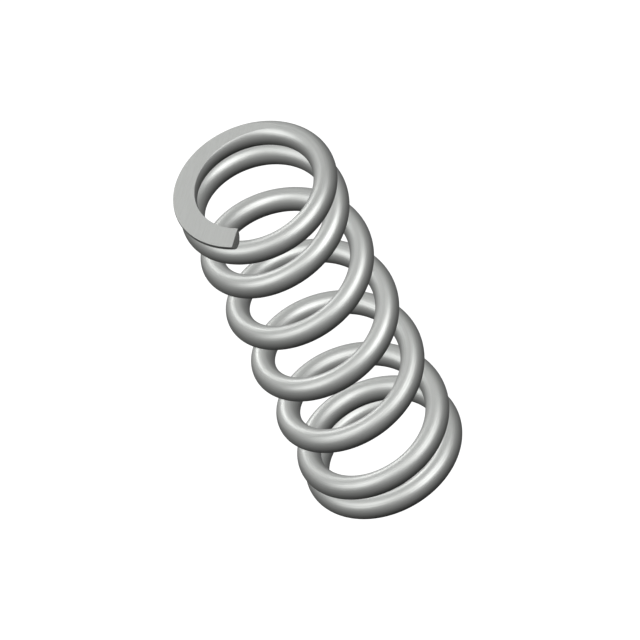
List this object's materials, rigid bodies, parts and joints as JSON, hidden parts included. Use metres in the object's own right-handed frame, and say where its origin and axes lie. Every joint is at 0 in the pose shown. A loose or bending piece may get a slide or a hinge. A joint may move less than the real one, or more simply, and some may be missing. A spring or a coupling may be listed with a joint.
{
  "type": "compression spring",
  "caption": "Helical compression spring of round wire, right-hand wound, with closed ends ground flat.",
  "frame": {"origin": "on the spring's axis, in the plane of the lower ground face", "axes": "+Z along the spring's axis, from the lower ground face to the upper one; +X towards the lower tip of the wire"},
  "size_m": [0.0126, 0.0126, 0.0336],
  "materials": {
    "spring_wire": "bright drawn spring wire, satin, with ground end faces"
  },
  "bodies": {
    "root": {"coil_spring": "spring_wire"}
  },
  "joints": []
}
